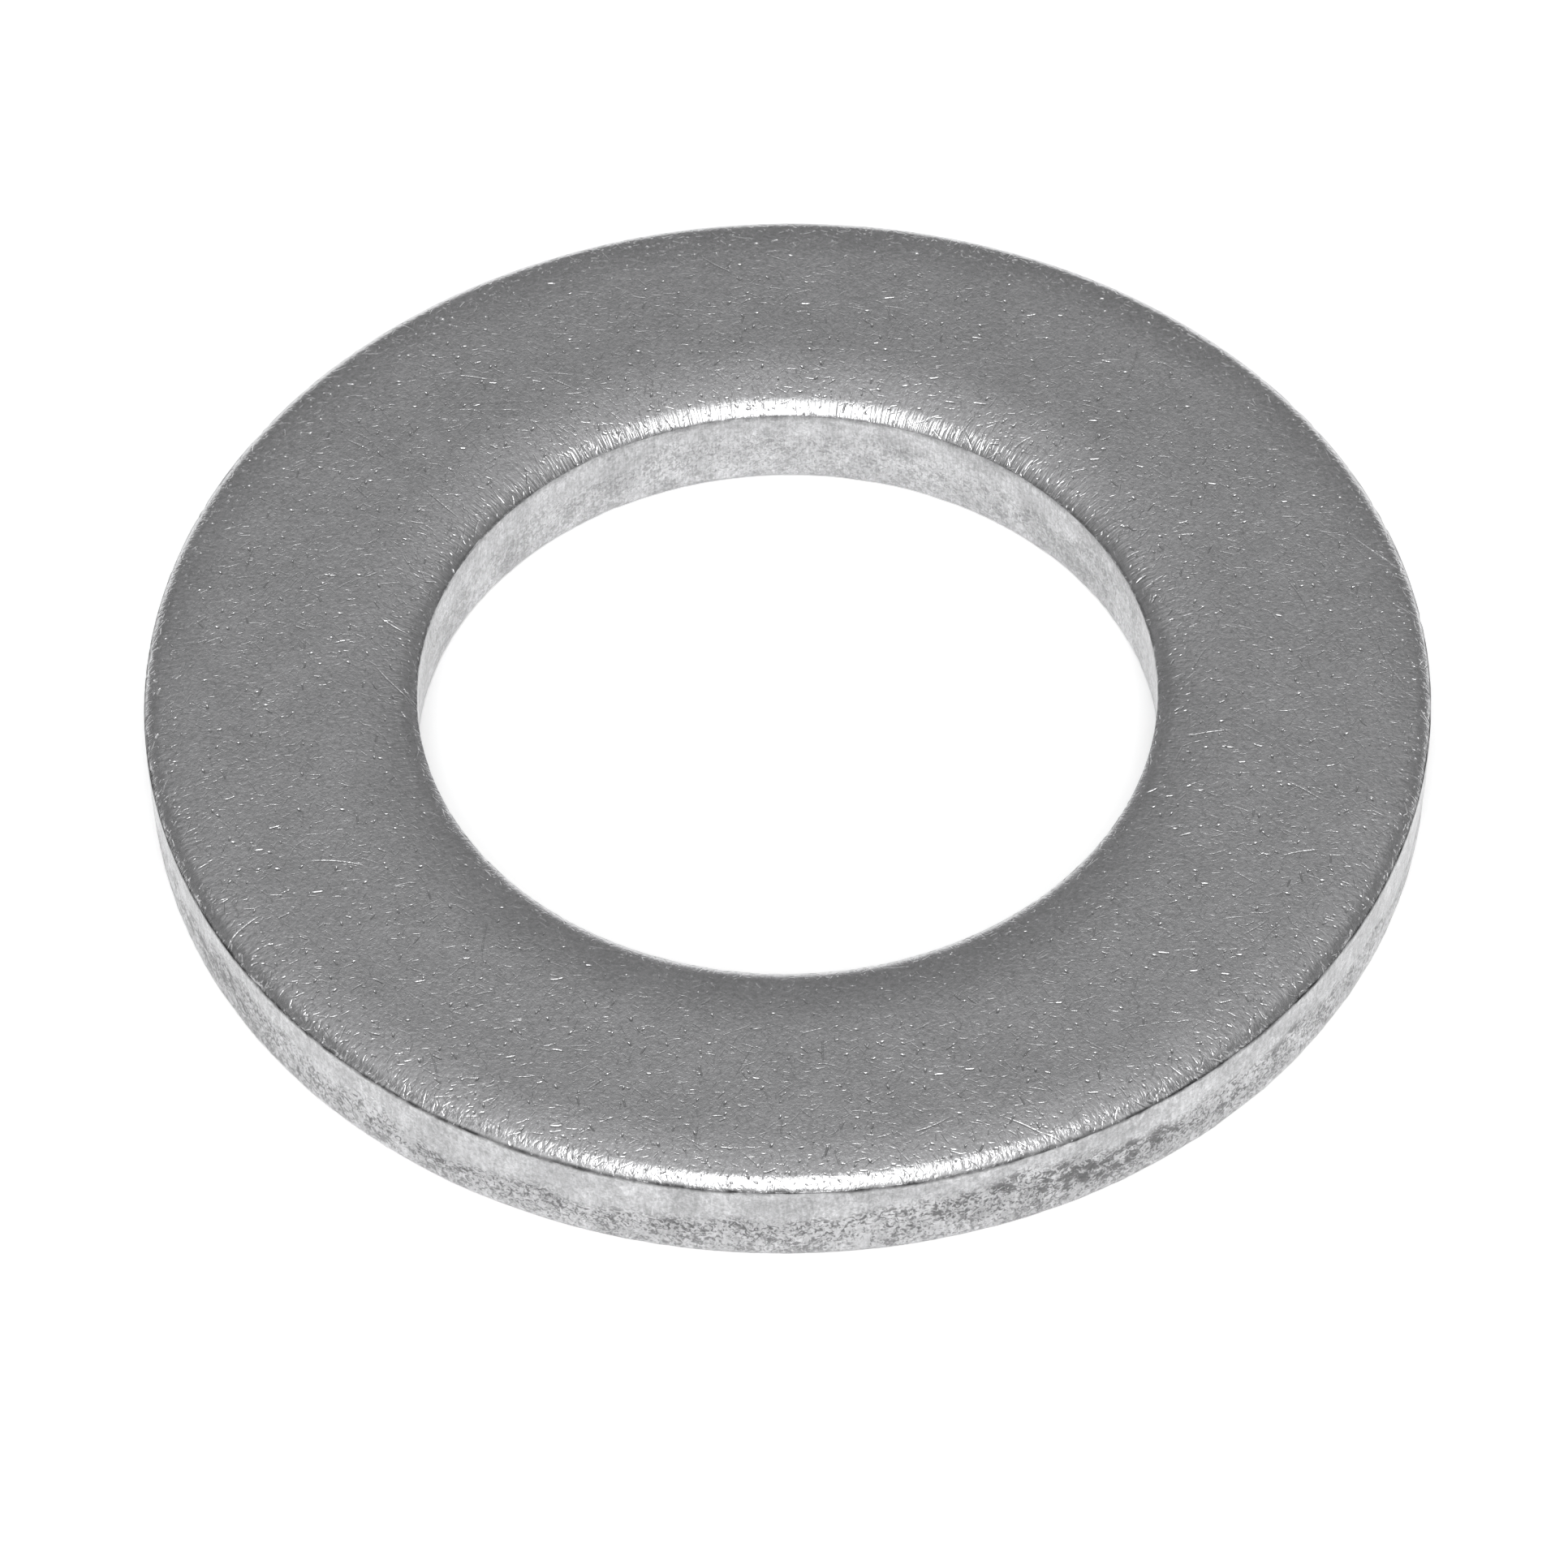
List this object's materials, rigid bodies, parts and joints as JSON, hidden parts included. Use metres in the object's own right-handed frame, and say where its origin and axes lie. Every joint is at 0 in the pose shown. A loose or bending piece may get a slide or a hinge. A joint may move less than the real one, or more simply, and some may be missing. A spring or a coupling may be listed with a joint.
{
  "type": "flat washer",
  "caption": "Plain round flat washer in satin stainless steel, stamped, with a rolled edge on its top face and a clearance hole for an M24 bolt.",
  "frame": {"origin": "centre of the hole in the plane of the bottom face, the sharp-edged face that the press tore last", "axes": "+Z along the hole, out of the rolled top face; +X and +Y are any two square directions across the washer, which is round"},
  "size_m": [0.0438, 0.0438, 0.0039],
  "materials": {
    "stainless_steel": "stainless steel, tumbled satin with fine random scratches; sheared and torn bands on both cut edges"
  },
  "bodies": {
    "root": {"washer": "stainless_steel"}
  },
  "joints": []
}
